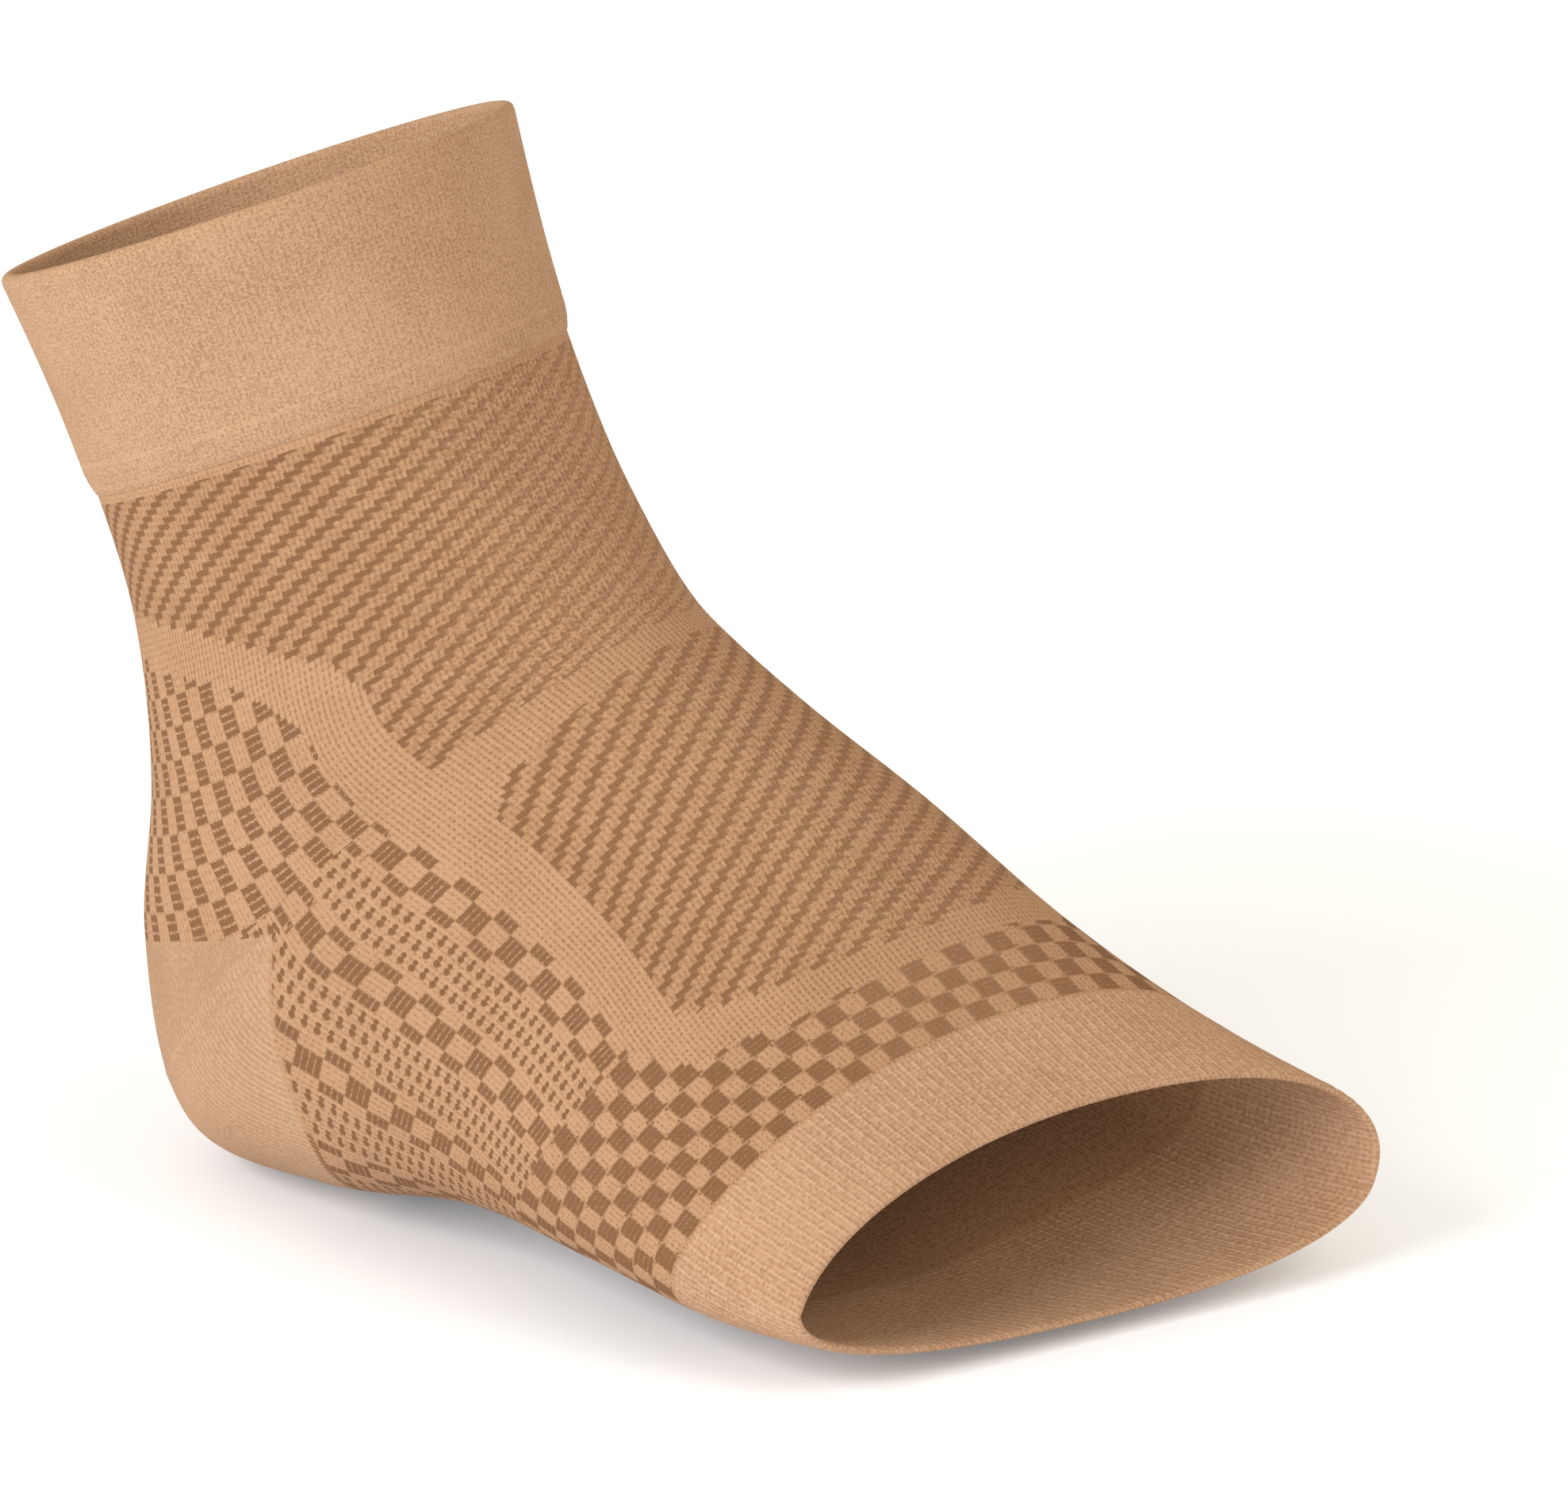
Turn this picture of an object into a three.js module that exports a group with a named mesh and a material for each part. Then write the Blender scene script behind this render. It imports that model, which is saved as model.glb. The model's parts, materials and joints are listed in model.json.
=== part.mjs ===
// Foot compression sleeve for a right foot, in mm: +X to the toes, -Y to the outer side, +Z up.
// The origin is the point inside the sole, under the ankle, where the foot stands in the sleeve.
import * as THREE from "three";

// Named sizes
const WALES = 256;            // knit columns round the leg, counted from the shin line over the outer side
const COLUMNS = 60;           // flat faces round the tube
const KNIT_WALL = 1.3;        // thickness of one layer of the knit
const PIECE_GAP = 0.3;        // clear space kept between neighbouring pieces
const CUFF_END = 35;          // lower edge of the doubled cuff, along the side from the top
const TOE_BAND_START = 187;   // where the ribbed toe band begins
const BODY_ROWS_ABOVE = 11;   // rows of faces from the cuff to the heel
const BODY_ROWS_BELOW = 14;   // rows of faces from the heel to the toe band
const HEEL_ROWS = 10;         // rows of faces over the heel pocket

// The heel pocket is a wedge that opens backwards from a point on each side of the ankle
const HEEL = {
  apexColumn: 16,             // column of the outer point; the inner point mirrors it
  apexAlong: 102,
  backAlong: 88,              // upper edge at the back of the heel
  soleAlong: 133,             // front edge under the sole
  edgePower: 2.5,
  tipInset: 0.7,              // wales between the wedge's point and the pocket's own blunt tip
};

// One row per section of the worn tube, fanned round the ankle from the leg to the toes.
// along: distance down the outer side; shin and heel: front and back (later top and bottom) points;
// outer, inner: half-widths; ridge: how far the top line sits to the big-toe side; wide: where the
// section is widest from its top; nTop, nSole: how square it is; slant: how the big-toe side leads;
// arch: lift of the sole on the big-toe side.
const SECTION_NAMES = ["along", "shinX", "shinZ", "heelX", "heelZ", "outer", "inner",
  "ridge", "wide", "nTop", "nSole", "slant", "arch"];
const SECTION_ROWS = [
  [0, 9.5, 162.5, -61.5, 132.5, 39.5, 40.5, 0, 0.50, 2.0, 2.0, 0.00, 0],
  [32, 21.5, 133.5, -49.0, 102.5, 33.5, 34.5, 0, 0.50, 2.0, 2.0, 0.00, 0],
  [52, 29.0, 117.0, -41.5, 81.0, 33.0, 35.0, 0, 0.50, 2.0, 2.0, 0.00, 0],
  [72, 36.0, 106.0, -38.5, 54.5, 34.5, 36.5, 0, 0.50, 2.0, 2.0, 0.00, 0],
  [88, 43.0, 97.5, -40.0, 30.0, 36.5, 38.0, 0, 0.50, 2.0, 2.0, 0.00, 0],
  [110, 51.0, 90.5, -29.0, 1.0, 37.5, 38.0, 1, 0.52, 2.1, 2.2, 0.00, 0],
  [127, 62.0, 82.5, -2.5, -1.3, 38.0, 38.0, 2, 0.55, 2.1, 2.4, 0.05, 2],
  [146, 77.5, 71.0, 29.0, 2.5, 39.0, 39.0, 4, 0.60, 2.1, 2.4, 0.15, 8],
  [169, 93.5, 55.0, 64.5, 2.0, 44.0, 41.0, 7, 0.64, 2.1, 2.5, 0.25, 7],
  [191, 106.0, 41.5, 98.5, 0.0, 47.0, 45.0, 10, 0.66, 2.1, 2.5, 0.35, 2],
  [209, 116.5, 32.5, 124.0, 1.0, 47.0, 48.0, 12, 0.66, 2.1, 2.5, 0.41, 0],
];

// Cuff: the knit turned down double, so it stands proud outside and rounds over at the top fold
const CUFF_ROWS = [
  { along: 0.0, outside: 0.10, inside: -0.70 },
  { along: 0.5, outside: 0.75, inside: -1.15 },
  { along: 1.3, outside: 1.00, inside: -KNIT_WALL },
  { along: 9.0, outside: 1.00, inside: -KNIT_WALL },
  { along: 17.0, outside: 1.00, inside: -KNIT_WALL },
  { along: 25.0, outside: 1.00, inside: -KNIT_WALL },
  { along: 33.2, outside: 1.00, inside: -KNIT_WALL },
  { along: 34.4, outside: 0.80, inside: -KNIT_WALL },
  { along: CUFF_END, outside: 0.30, inside: -KNIT_WALL },
];

// Toe band: one layer of ribbed knit with a rounded free edge
const TOE_ROWS = [
  { along: TOE_BAND_START, outside: 0.00, inside: -KNIT_WALL },
  { along: 192.0, outside: 0.00, inside: -KNIT_WALL },
  { along: 197.0, outside: 0.00, inside: -KNIT_WALL },
  { along: 202.0, outside: 0.00, inside: -KNIT_WALL },
  { along: 207.6, outside: 0.00, inside: -KNIT_WALL },
  { along: 208.5, outside: -0.15, inside: -1.15 },
  { along: 209.0, outside: -0.45, inside: -0.85 },
];

// The four knits and their colours
const KNITS = {
  ankle_cuff: { slot: "cuff_knit", colour: 0xcb9f7c },
  sleeve_body: { slot: "body_knit", colour: 0xc4976f },
  heel_pocket: { slot: "heel_knit", colour: 0xd3a784 },
  toe_band: { slot: "toe_rib", colour: 0xd0a47f },
};

const signedPower = (value, power) => Math.sign(value) * Math.abs(value) ** power;

// Slopes of every named size at every row, for a smooth curve through the rows
function rowSlopes() {
  const last = SECTION_ROWS.length - 1;
  const step = (i) => SECTION_ROWS[i + 1][0] - SECTION_ROWS[i][0];
  const rise = (i, k) => (SECTION_ROWS[i + 1][k] - SECTION_ROWS[i][k]) / step(i);
  const slopes = SECTION_ROWS.map((row) => row.map(() => 0));
  for (let k = 1; k < SECTION_NAMES.length; k += 1) {
    for (let i = 1; i < last; i += 1) {
      const before = step(i - 1);
      const after = step(i);
      slopes[i][k] = (rise(i - 1, k) * after + rise(i, k) * before) / (before + after);
    }
    slopes[0][k] = rise(0, k) * 1.5 - slopes[1][k] * 0.5;
    slopes[last][k] = rise(last - 1, k) * 1.5 - slopes[last - 1][k] * 0.5;
  }
  return slopes;
}
const SLOPES = rowSlopes();

// The named sizes of the section at any distance along
function sectionAt(along) {
  let i = 0;
  while (i < SECTION_ROWS.length - 2 && along >= SECTION_ROWS[i + 1][0]) i += 1;
  const from = SECTION_ROWS[i];
  const to = SECTION_ROWS[i + 1];
  const span = to[0] - from[0];
  const u = (along - from[0]) / span;
  const section = {};
  SECTION_NAMES.forEach((name, k) => {
    section[name] = (1 + 2 * u) * (1 - u) ** 2 * from[k] + u * (1 - u) ** 2 * span * SLOPES[i][k]
      + u * u * (3 - 2 * u) * to[k] + u * u * (u - 1) * span * SLOPES[i + 1][k];
  });
  return section;
}

// A point of the section's outline; turn runs from the top over the outer side to the bottom and back.
// The lower corner on the big-toe side is tucked in, so that side stays smooth under the ridge.
function outlinePoint(section, turn) {
  const up = Math.cos(turn);
  const side = Math.sin(turn);
  const power = 2 / (up >= 0 ? section.nTop : section.nSole);
  const height = signedPower(up, power);
  const reach = signedPower(side, power);
  const down = up >= 0 ? section.wide * (1 - height) : section.wide - (1 - section.wide) * height;
  const width = side >= 0 ? section.outer : section.inner;
  const corner = up < 0 && side < 0 ? Math.abs(height * reach) : 0;
  const tuck = section.ridge * (1 / section.wide - 1) * corner;
  const y = -width * reach + (up >= 0 ? section.ridge * height : 0) - tuck;
  const lift = section.arch * 2 * corner;
  return new THREE.Vector3(
    section.shinX + (section.heelX - section.shinX) * down + section.slant * y,
    y,
    section.shinZ + (section.heelZ - section.shinZ) * down + lift,
  );
}

// The outline measured off evenly by length, so that every wale is equally wide
const OUTLINE_STEPS = 480;
const outlines = new Map();
function outlineAt(along) {
  const key = along.toFixed(4);
  if (!outlines.has(key)) {
    const section = sectionAt(along);
    const points = [];
    const lengths = [0];
    for (let i = 0; i <= OUTLINE_STEPS; i += 1) {
      points.push(outlinePoint(section, (2 * Math.PI * i) / OUTLINE_STEPS));
      if (i > 0) lengths.push(lengths[i - 1] + points[i].distanceTo(points[i - 1]));
    }
    outlines.set(key, { points, lengths });
  }
  return outlines.get(key);
}
function onTube(along, wale) {
  const { points, lengths } = outlineAt(along);
  const share = (((wale / WALES) % 1) + 1) % 1;
  const wanted = share * lengths[OUTLINE_STEPS];
  let low = 0;
  let high = OUTLINE_STEPS;
  while (high - low > 1) {
    const middle = (low + high) >> 1;
    if (lengths[middle] <= wanted) low = middle;
    else high = middle;
  }
  const part = (wanted - lengths[low]) / (lengths[high] - lengths[low]);
  return points[low].clone().lerp(points[high], part);
}

// The outward direction of the tube's face
function outward(along, wale) {
  const step = 0.6;
  const round = onTube(along, wale + step).sub(onTube(along, wale - step));
  const down = onTube(along + step, wale).sub(onTube(along - step, wale));
  return round.cross(down).normalize();
}

// How far along to go to move a wanted distance on the face
function alongFor(distance, along, wale) {
  const step = 0.5;
  return (distance * 2 * step) / onTube(along + step, wale).distanceTo(onTube(along - step, wale));
}

// A closed solid from a patch of the tube: every corner has an outside and an inside point, and the
// open edges of the patch are closed between the two.
function shell(name, corners, quads) {
  const positions = [];
  corners.forEach(({ along, wale, outside, inside }) => {
    const point = onTube(along, wale);
    const normal = outward(along, wale);
    positions.push(...point.clone().addScaledVector(normal, outside).toArray());
    positions.push(...point.clone().addScaledVector(normal, inside).toArray());
  });
  const index = [];
  const edges = new Map();
  quads.forEach((quad) => {
    const [a, b, c, d] = quad.map((corner) => 2 * corner);
    index.push(a, b, c, a, c, d, a + 1, c + 1, b + 1, a + 1, d + 1, c + 1);
    quad.forEach((from, k) => {
      const to = quad[(k + 1) % 4];
      const back = `${to}-${from}`;
      if (edges.has(back)) edges.delete(back);
      else edges.set(`${from}-${to}`, [2 * from, 2 * to]);
    });
  });
  edges.forEach(([from, to]) => index.push(from, from + 1, to + 1, from, to + 1, to));
  const geometry = new THREE.BufferGeometry();
  geometry.setAttribute("position", new THREE.Float32BufferAttribute(positions, 3));
  geometry.setIndex(index);
  geometry.computeVertexNormals();
  const { slot, colour } = KNITS[name];
  const material = new THREE.MeshStandardMaterial({ color: colour, roughness: 0.9, metalness: 0 });
  material.name = slot;
  const mesh = new THREE.Mesh(geometry, material);
  mesh.name = name;
  return mesh;
}

const waleOf = (column) => (column * WALES) / COLUMNS;

// A ring piece: rows of corners all round. gapAtStart and gapAtEnd are 1 where the piece draws back
// half the gap from a neighbour and 0 at a free edge.
function ring(name, rows, gapAtStart, gapAtEnd) {
  const corners = [];
  const quads = [];
  rows.forEach((row, r) => {
    for (let column = 0; column < COLUMNS; column += 1) {
      const wale = waleOf(column);
      const back = alongFor(PIECE_GAP / 2, row.along, wale);
      const shift = (r === 0 ? gapAtStart : 0) - (r === rows.length - 1 ? gapAtEnd : 0);
      corners.push({ ...row, wale, along: row.along + shift * back });
      const next = (column + 1) % COLUMNS;
      if (r > 0) quads.push([(r - 1) * COLUMNS + column, (r - 1) * COLUMNS + next, r * COLUMNS + next,
        r * COLUMNS + column]);
    }
  });
  return shell(name, corners, quads);
}

// The wedge's two edges; columns outside the wedge keep both at the apex
const heelLast = COLUMNS - HEEL.apexColumn;
function heelEdges(wale) {
  const apex = waleOf(HEEL.apexColumn);
  const fromMiddle = Math.abs(wale - WALES / 2) / (WALES / 2 - apex);
  const open = 1 - Math.min(1, fromMiddle) ** HEEL.edgePower;
  return {
    upper: HEEL.apexAlong + (HEEL.backAlong - HEEL.apexAlong) * open,
    front: HEEL.apexAlong + (HEEL.soleAlong - HEEL.apexAlong) * open,
  };
}

// Sleeve body: the tube from cuff to toe band, open where the heel pocket is set in
function sleeveBody() {
  const corners = [];
  const quads = [];
  const place = (along, wale) => {
    corners.push({ along, wale, outside: 0, inside: -KNIT_WALL });
    return corners.length - 1;
  };
  const above = [];
  const below = [];
  for (let column = 0; column < COLUMNS; column += 1) {
    const wale = waleOf(column);
    const { upper, front } = heelEdges(wale);
    const top = CUFF_END + alongFor(PIECE_GAP / 2, CUFF_END, wale);
    const end = TOE_BAND_START - alongFor(PIECE_GAP / 2, TOE_BAND_START, wale);
    const lower = [];
    const higher = [];
    for (let r = 0; r <= BODY_ROWS_ABOVE; r += 1) {
      higher.push(place(top + ((upper - top) * r) / BODY_ROWS_ABOVE, wale));
    }
    const open = column > HEEL.apexColumn && column < heelLast;
    for (let r = 0; r <= BODY_ROWS_BELOW; r += 1) {
      if (r === 0 && !open) lower.push(higher[BODY_ROWS_ABOVE]);
      else lower.push(place(front + ((end - front) * r) / BODY_ROWS_BELOW, wale));
    }
    above.push(higher);
    below.push(lower);
  }
  [above, below].forEach((grid) => {
    for (let column = 0; column < COLUMNS; column += 1) {
      const next = (column + 1) % COLUMNS;
      for (let r = 1; r < grid[column].length; r += 1) {
        quads.push([grid[column][r - 1], grid[next][r - 1], grid[next][r], grid[column][r]]);
      }
    }
  });
  return shell("sleeve_body", corners, quads);
}

// Heel pocket: the plain wedge, drawn back from the body's opening by the gap
function heelPocket() {
  const tips = [waleOf(HEEL.apexColumn) + HEEL.tipInset, waleOf(heelLast) - HEEL.tipInset];
  const wales = [tips[0]];
  for (let column = HEEL.apexColumn + 1; column < heelLast; column += 1) wales.push(waleOf(column));
  wales.push(tips[1]);
  const edgesAt = (wale) => {
    const low = Math.floor((wale * COLUMNS) / WALES);
    const share = (wale - waleOf(low)) / (waleOf(low + 1) - waleOf(low));
    const from = heelEdges(waleOf(low));
    const to = heelEdges(waleOf(low + 1));
    return {
      upper: from.upper + (to.upper - from.upper) * share,
      front: from.front + (to.front - from.front) * share,
    };
  };
  const drawnBack = (edge, wale) => {
    const step = 0.4;
    const run = onTube(edgesAt(wale + step)[edge], wale + step)
      .sub(onTube(edgesAt(wale - step)[edge], wale - step)).normalize();
    const along = edgesAt(wale)[edge];
    const down = onTube(along + step, wale).sub(onTube(along - step, wale)).normalize();
    const across = Math.sqrt(1 - run.dot(down) ** 2);
    return alongFor(PIECE_GAP / across, along, wale);
  };
  const corners = [];
  const quads = [];
  wales.forEach((wale, i) => {
    const edges = edgesAt(wale);
    const start = edges.upper + drawnBack("upper", wale);
    const end = edges.front - drawnBack("front", wale);
    for (let r = 0; r <= HEEL_ROWS; r += 1) {
      corners.push({ along: start + ((end - start) * r) / HEEL_ROWS, wale, outside: 0, inside: -KNIT_WALL });
      const here = i * (HEEL_ROWS + 1) + r;
      const before = here - (HEEL_ROWS + 1);
      if (i > 0 && r > 0) quads.push([before - 1, here - 1, here, before]);
    }
  });
  return shell("heel_pocket", corners, quads);
}

const group = new THREE.Group();
group.name = "foot_compression_sleeve";
group.add(ring("ankle_cuff", CUFF_ROWS, 0, 1));
group.add(sleeveBody());
group.add(heelPocket());
group.add(ring("toe_band", TOE_ROWS, 1, 0));

export default group;
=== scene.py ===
import json
import math

import bpy
import numpy as np
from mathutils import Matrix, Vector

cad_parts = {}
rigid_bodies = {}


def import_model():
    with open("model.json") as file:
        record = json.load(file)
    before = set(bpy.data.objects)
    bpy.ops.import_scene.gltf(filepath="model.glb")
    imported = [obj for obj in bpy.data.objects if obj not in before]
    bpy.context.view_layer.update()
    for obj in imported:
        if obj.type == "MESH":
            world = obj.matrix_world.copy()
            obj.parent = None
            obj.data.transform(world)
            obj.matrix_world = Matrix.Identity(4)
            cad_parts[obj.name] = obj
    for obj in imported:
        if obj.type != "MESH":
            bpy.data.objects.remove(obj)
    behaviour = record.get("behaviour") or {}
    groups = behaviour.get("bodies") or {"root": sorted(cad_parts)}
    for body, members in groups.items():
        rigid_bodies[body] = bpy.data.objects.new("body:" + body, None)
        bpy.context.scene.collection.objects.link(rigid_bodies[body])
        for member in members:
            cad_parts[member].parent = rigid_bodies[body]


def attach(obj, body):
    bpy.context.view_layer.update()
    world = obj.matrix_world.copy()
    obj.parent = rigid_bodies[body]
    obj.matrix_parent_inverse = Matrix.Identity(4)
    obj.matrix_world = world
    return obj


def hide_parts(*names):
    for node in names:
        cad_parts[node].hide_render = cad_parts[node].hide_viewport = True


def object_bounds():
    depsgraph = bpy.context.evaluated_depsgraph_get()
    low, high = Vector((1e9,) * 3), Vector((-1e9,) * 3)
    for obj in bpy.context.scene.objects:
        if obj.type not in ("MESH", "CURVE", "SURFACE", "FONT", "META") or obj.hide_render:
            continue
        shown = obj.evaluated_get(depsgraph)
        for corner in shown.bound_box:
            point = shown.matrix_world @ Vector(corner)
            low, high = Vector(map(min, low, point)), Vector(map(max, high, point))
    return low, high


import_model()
cad_box = [list(corner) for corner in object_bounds()]

# Ankle cuff
# The top of the sleeve: fine plain knit in tan nylon and elastane yarn, turned down double on the machine.
# The fold is the round top edge, and the caught-down free edge ends in a small step on the tube.
MM = 0.001
WALES = 256
HALF_ROUND = WALES / 2
KNIT_WALL = 1.3
CUFF_END = 35.0
CUFF_PROUD = 1.0
CUFF_COURSE = 0.62
CUFF_STITCH_LINES = (48.8, 54.6)
CUFF_GRAIN = 0.38
CLOUD = 14.0
CLOUD_DETAIL = 2.0
CUFF_COLOUR = (0.470, 0.294, 0.184)
# The darker end of the cuff's speckle, also the painted shade between its loops
CUFF_SPECKLE_AND_SHADE_COLOUR = (0.305, 0.172, 0.097)

# The worn shape in millimetres: sections from the top fold down to the ankle bend and out to the toe edge.
# Each has the front and back points of its middle line, its half widths, and the shape of its rounding.
SECTION_COLUMNS = (
    "shin_x shin_z heel_x heel_z outer inner ridge wide top_power sole_power slant arch".split()
)
SECTION_ALONG = np.array([0, 32, 52, 72, 88, 110, 127, 146, 169, 191, 209], float)
SECTIONS = np.array([
    [9.5, 162.5, -61.5, 132.5, 39.5, 40.5, 0, 0.50, 2.0, 2.0, 0.00, 0],
    [21.5, 133.5, -49.0, 102.5, 33.5, 34.5, 0, 0.50, 2.0, 2.0, 0.00, 0],
    [29.0, 117.0, -41.5, 81.0, 33.0, 35.0, 0, 0.50, 2.0, 2.0, 0.00, 0],
    [36.0, 106.0, -38.5, 54.5, 34.5, 36.5, 0, 0.50, 2.0, 2.0, 0.00, 0],
    [43.0, 97.5, -40.0, 30.0, 36.5, 38.0, 0, 0.50, 2.0, 2.0, 0.00, 0],
    [51.0, 90.5, -29.0, 1.0, 37.5, 38.0, 1, 0.52, 2.1, 2.2, 0.00, 0],
    [62.0, 82.5, -2.5, -1.3, 38.0, 38.0, 2, 0.55, 2.1, 2.4, 0.05, 2],
    [77.5, 71.0, 29.0, 2.5, 39.0, 39.0, 4, 0.60, 2.1, 2.4, 0.15, 8],
    [93.5, 55.0, 64.5, 2.0, 44.0, 41.0, 7, 0.64, 2.1, 2.5, 0.25, 7],
    [106.0, 41.5, 98.5, 0.0, 47.0, 45.0, 10, 0.66, 2.1, 2.5, 0.35, 2],
    [116.5, 32.5, 124.0, 1.0, 47.0, 48.0, 12, 0.66, 2.1, 2.5, 0.41, 0],
])
NEEDLE_ROWS = np.arange(-1.0, 212.0)
TURN = np.linspace(0, 2 * math.pi, 721)
NUDGE = 0.25
JOIN_WITHIN = 0.005
CRISP_ANGLE = math.radians(50)


def section_at(along):
    """The section's sizes at each place along the sleeve, on smooth curves through the rows."""
    span = np.diff(SECTION_ALONG)[:, None]
    rise = np.diff(SECTIONS, axis=0) / span
    slope = np.empty_like(SECTIONS)
    slope[1:-1] = (rise[:-1] * span[1:] + rise[1:] * span[:-1]) / (span[1:] + span[:-1])
    slope[0] = 1.5 * rise[0] - 0.5 * slope[1]
    slope[-1] = 1.5 * rise[-1] - 0.5 * slope[-2]
    row = np.searchsorted(SECTION_ALONG, along, side="right") - 1
    row = np.clip(row, 0, len(SECTION_ALONG) - 2)
    reach = span[row]
    t = (along - SECTION_ALONG[row])[:, None] / reach
    start = (1 + 2 * t) * (1 - t) ** 2 * SECTIONS[row] + t * (1 - t) ** 2 * reach * slope[row]
    end = t * t * (3 - 2 * t) * SECTIONS[row + 1] + t * t * (t - 1) * reach * slope[row + 1]
    return dict(zip(SECTION_COLUMNS, (start + end).T))


def at_angle(along, angle):
    """Points of the worn outside at an angle round the section, from its front over the outer side.

    The lower inner corner is tucked in, so that the inner side stays smooth under the ridge.
    """
    size = section_at(along)
    front, side = np.cos(angle), np.sin(angle)
    is_top = front >= 0
    power = 2 / np.where(is_top, size["top_power"], size["sole_power"])
    up = np.sign(front) * np.abs(front) ** power
    over = np.sign(side) * np.abs(side) ** power
    wide = size["wide"]
    back = np.where(is_top, wide * (1 - up), wide - (1 - wide) * up)
    corner = np.where(is_top | (side >= 0), 0, np.abs(up * over))
    lean = size["ridge"] * (np.where(is_top, up, 0) - (1 / wide - 1) * corner)
    across = lean - np.where(side >= 0, size["outer"], size["inner"]) * over
    x = size["shin_x"] + (size["heel_x"] - size["shin_x"]) * back + size["slant"] * across
    z = size["shin_z"] + (size["heel_z"] - size["shin_z"]) * back + size["arch"] * 2 * corner
    return np.stack([x, across, z], axis=-1)


def needle_angles():
    """The angle of each needle on every row, so that wales lie evenly round the tube."""
    along, angle = np.meshgrid(NEEDLE_ROWS, TURN, indexing="ij")
    loop = at_angle(along.ravel(), angle.ravel()).reshape(*along.shape, 3)
    steps = np.linalg.norm(np.diff(loop, axis=1), axis=2)
    run = np.concatenate([np.zeros((len(NEEDLE_ROWS), 1)), np.cumsum(steps, axis=1)], axis=1)
    share = np.linspace(0, 1, WALES + 1)
    return np.array([np.interp(share * row[-1], row, TURN) for row in run])


NEEDLE_ANGLES = needle_angles()


def on_form(along, wale):
    """Points in millimetres on the worn outside, at a place along the sleeve and a wale round it."""
    row = np.clip(np.floor(along - NEEDLE_ROWS[0]).astype(int), 0, len(NEEDLE_ROWS) - 2)
    row_part = along - NEEDLE_ROWS[row]
    turn = np.mod(wale, WALES)
    needle = np.minimum(np.floor(turn).astype(int), WALES - 1)
    part = turn - needle
    upper = NEEDLE_ANGLES[row, needle] * (1 - part) + NEEDLE_ANGLES[row, needle + 1] * part
    lower = NEEDLE_ANGLES[row + 1, needle] * (1 - part) + NEEDLE_ANGLES[row + 1, needle + 1] * part
    return at_angle(along, upper * (1 - row_part) + lower * row_part)


def worn(along, wale, proud):
    """Places in metres that stand proud of the worn form by that many millimetres."""
    down = on_form(along + NUDGE, wale) - on_form(along - NUDGE, wale)
    aside = on_form(along, wale + NUDGE) - on_form(along, wale - NUDGE)
    normal = np.cross(aside, down)
    normal /= np.linalg.norm(normal, axis=1)[:, None]
    return (on_form(along, wale) + normal * np.broadcast_to(proud, along.shape)[:, None]) * MM


def knitted_panel(name, columns, rows):
    """A flat panel of small faces, and the column and row of each of its points."""
    bpy.ops.object.select_all(action="DESELECT")
    bpy.ops.mesh.primitive_grid_add(x_subdivisions=columns, y_subdivisions=rows, size=2)
    panel = bpy.context.object
    panel.name = panel.data.name = name
    panel.data.uv_layers.remove(panel.data.uv_layers[0])
    flat = np.empty(len(panel.data.vertices) * 3)
    panel.data.vertices.foreach_get("co", flat)
    flat = (flat.reshape(-1, 3) + 1) / 2
    return panel, np.rint(flat[:, 0] * columns), np.rint(flat[:, 1] * rows)


def wrap(panel, places):
    """Moves the flat panel's points to their places on the form."""
    panel.data.vertices.foreach_set("co", places.ravel())
    panel.data.update()


def note(panel, name, values):
    """Keeps a number at each point of the panel, for its material."""
    panel.data.attributes.new(name, "FLOAT", "POINT").data.foreach_set("value", values)


def lay_out(panel, name, across, down):
    """A UV map of the panel from two numbers at each point, with its side edges still apart."""
    corner = np.empty(len(panel.data.loops), int)
    panel.data.loops.foreach_get("vertex_index", corner)
    layer = panel.data.uv_layers.new(name=name)
    layer.uv.foreach_set("vector", np.stack([across[corner], down[corner]], axis=1).ravel())


def smooth(piece):
    """Smooth shading over the knit, with its cut edges left crisp."""
    bpy.ops.object.select_all(action="DESELECT")
    piece.select_set(True)
    bpy.context.view_layer.objects.active = piece
    bpy.ops.object.shade_smooth_by_angle(angle=CRISP_ANGLE)


def close_round(piece):
    """Joins the edges that meet, so that the panel is a closed tube, and smooths it."""
    bpy.ops.object.select_all(action="DESELECT")
    piece.select_set(True)
    bpy.context.view_layer.objects.active = piece
    bpy.ops.object.mode_set(mode="EDIT")
    bpy.ops.mesh.select_all(action="SELECT")
    bpy.ops.mesh.remove_doubles(threshold=JOIN_WITHIN * MM)
    bpy.ops.object.mode_set(mode="OBJECT")
    smooth(piece)


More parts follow.
